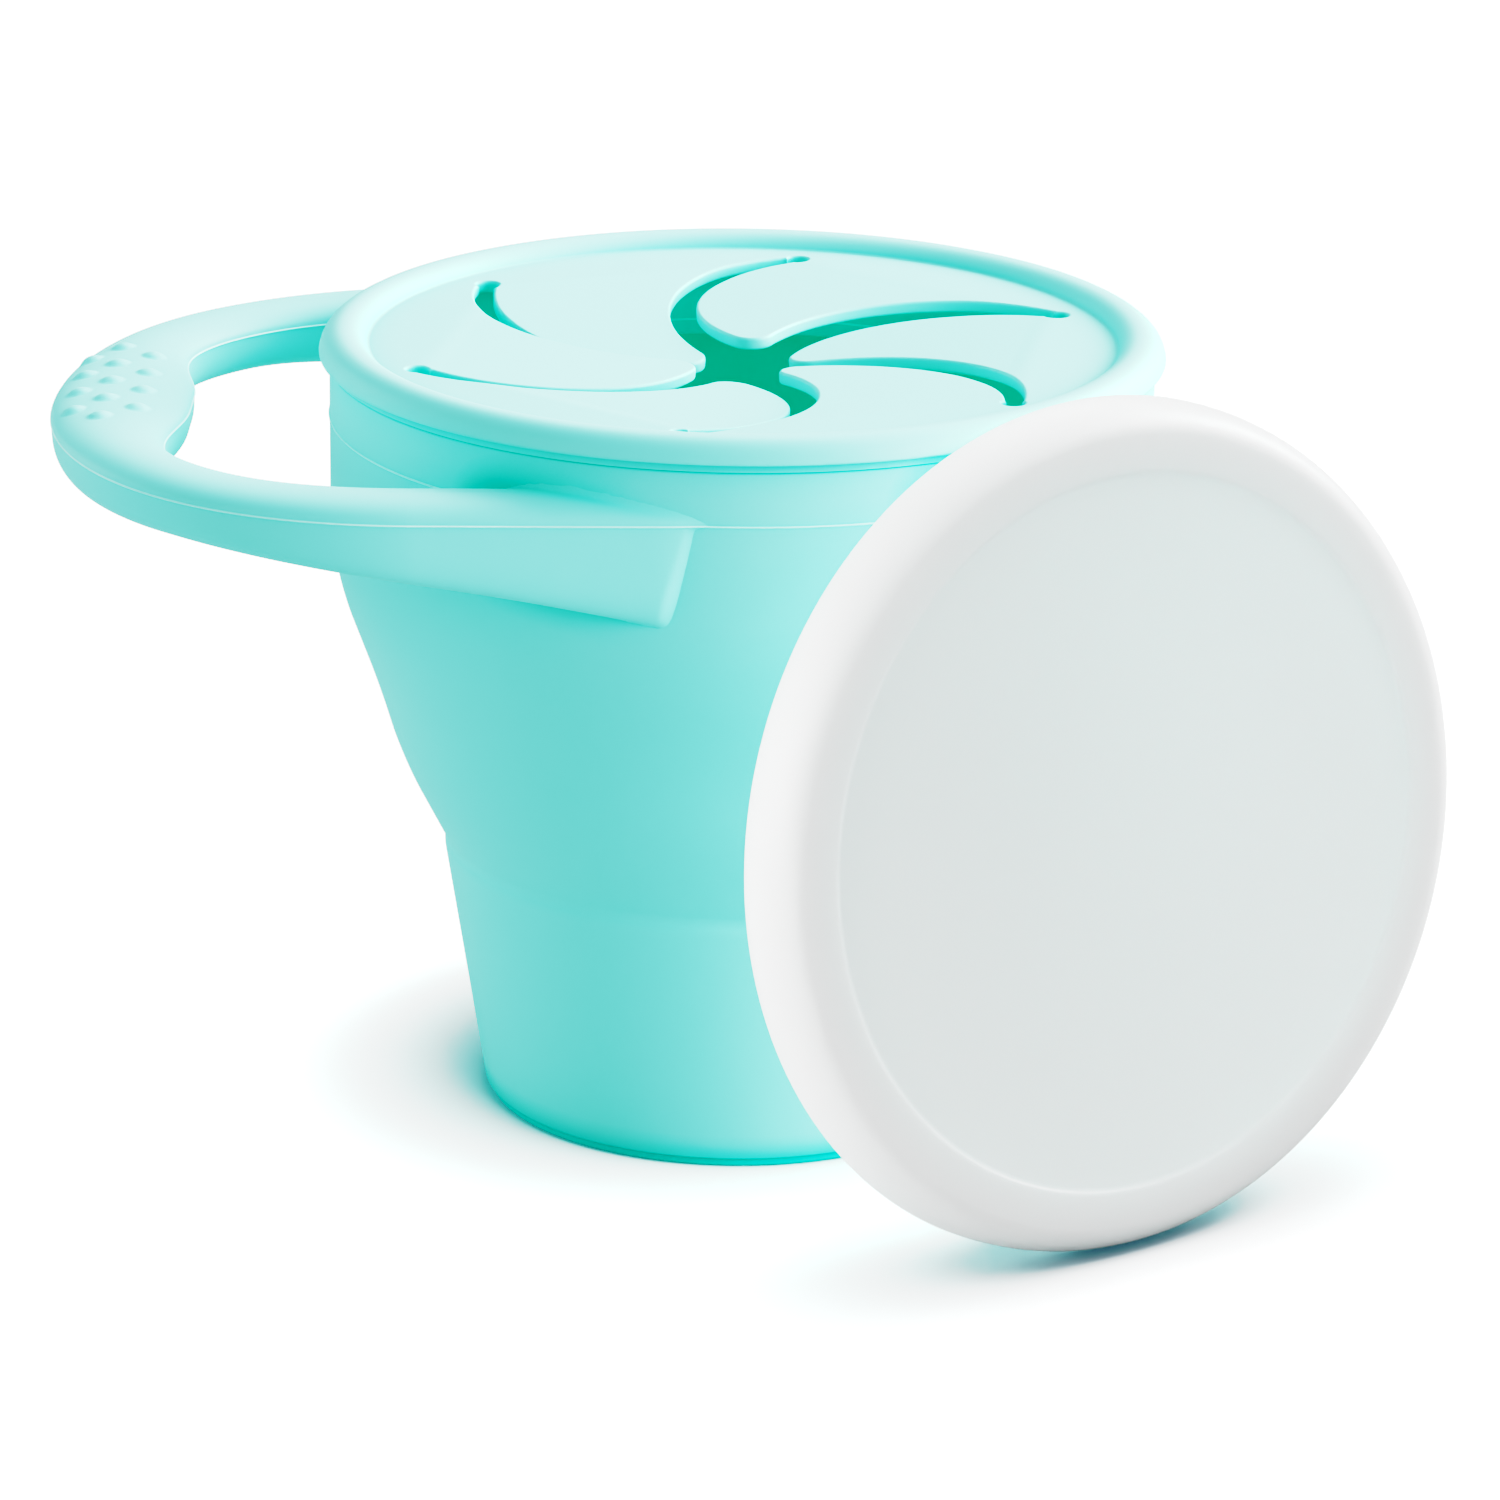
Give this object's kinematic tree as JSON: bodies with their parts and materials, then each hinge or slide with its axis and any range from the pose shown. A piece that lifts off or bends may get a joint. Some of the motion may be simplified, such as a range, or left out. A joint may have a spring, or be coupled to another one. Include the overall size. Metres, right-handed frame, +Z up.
{
  "type": "toddler snack container",
  "caption": "Collapsible silicone snack cup with a loop carry handle, a slit-flap snack guard in its mouth and a loose round lid that leans against its rim.",
  "frame": {"origin": "centre of the cup's round foot, on the table it stands on", "axes": "+Z up along the cup's axis, the handle points along -X, the lid leans at the +X -Y side"},
  "size_m": [0.1579, 0.1239, 0.094],
  "materials": {
    "cup_silicone": "soft matte silicone",
    "guard_silicone": "soft matte silicone",
    "lid_plastic": "soft matte white"
  },
  "bodies": {
    "base": {"base_cup": "cup_silicone", "lower_fold": "cup_silicone"},
    "middle": {"middle_ring": "cup_silicone", "upper_fold": "cup_silicone"},
    "rim": {"rim_band": "cup_silicone", "carry_handle": "cup_silicone"},
    "guard": {"guard_ring": "guard_silicone"},
    "flap_1": {"flap_1": "guard_silicone"},
    "flap_2": {"flap_2": "guard_silicone"},
    "flap_3": {"flap_3": "guard_silicone"},
    "flap_4": {"flap_4": "guard_silicone"},
    "flap_5": {"flap_5": "guard_silicone"},
    "flap_6": {"flap_6": "guard_silicone"},
    "lid": {"lid": "lid_plastic"}
  },
  "joints": [
    {"name": "lower_fold_slide", "type": "slide", "parent": "base", "child": "middle", "axis": [0, 0, 1], "range_m": [-0.026, 0], "deforming": ["lower_fold"]},
    {"name": "upper_fold_slide", "type": "slide", "parent": "middle", "child": "rim", "axis": [0, 0, 1], "range_m": [-0.024, 0], "deforming": ["upper_fold"]},
    {"name": "guard_lift", "type": "slide", "parent": "rim", "child": "guard", "axis": [0, 0, 1], "range_m": [0, 0.03]},
    {"name": "flap_1_bend", "type": "hinge", "parent": "guard", "child": "flap_1", "pos_m": [0.02132, 0.02586, 0.08845], "axis": [0.7716, -0.6361, 0], "range_deg": [-30, 60], "stiffness_Nm_per_rad": 0.03},
    {"name": "flap_2_bend", "type": "hinge", "parent": "guard", "child": "flap_2", "pos_m": [-0.01174, 0.03139, 0.08845], "axis": [0.9367, 0.3502, 0], "range_deg": [-30, 60], "stiffness_Nm_per_rad": 0.03},
    {"name": "flap_3_bend", "type": "hinge", "parent": "guard", "child": "flap_3", "pos_m": [-0.03306, 0.00553, 0.08845], "axis": [0.165, 0.9863, 0], "range_deg": [-30, 60], "stiffness_Nm_per_rad": 0.03},
    {"name": "flap_4_bend", "type": "hinge", "parent": "guard", "child": "flap_4", "pos_m": [-0.02132, -0.02586, 0.08845], "axis": [-0.7716, 0.6361, 0], "range_deg": [-30, 60], "stiffness_Nm_per_rad": 0.03},
    {"name": "flap_5_bend", "type": "hinge", "parent": "guard", "child": "flap_5", "pos_m": [0.01174, -0.03139, 0.08845], "axis": [-0.9367, -0.3502, 0], "range_deg": [-30, 60], "stiffness_Nm_per_rad": 0.03},
    {"name": "flap_6_bend", "type": "hinge", "parent": "guard", "child": "flap_6", "pos_m": [0.03306, -0.00553, 0.08845], "axis": [-0.165, -0.9863, 0], "range_deg": [-30, 60], "stiffness_Nm_per_rad": 0.03},
    {"name": "lid_pull", "type": "slide", "parent": "base", "child": "lid", "axis": [0.5799, -0.807, 0.1115], "range_m": [0, 0.08]}
  ]
}
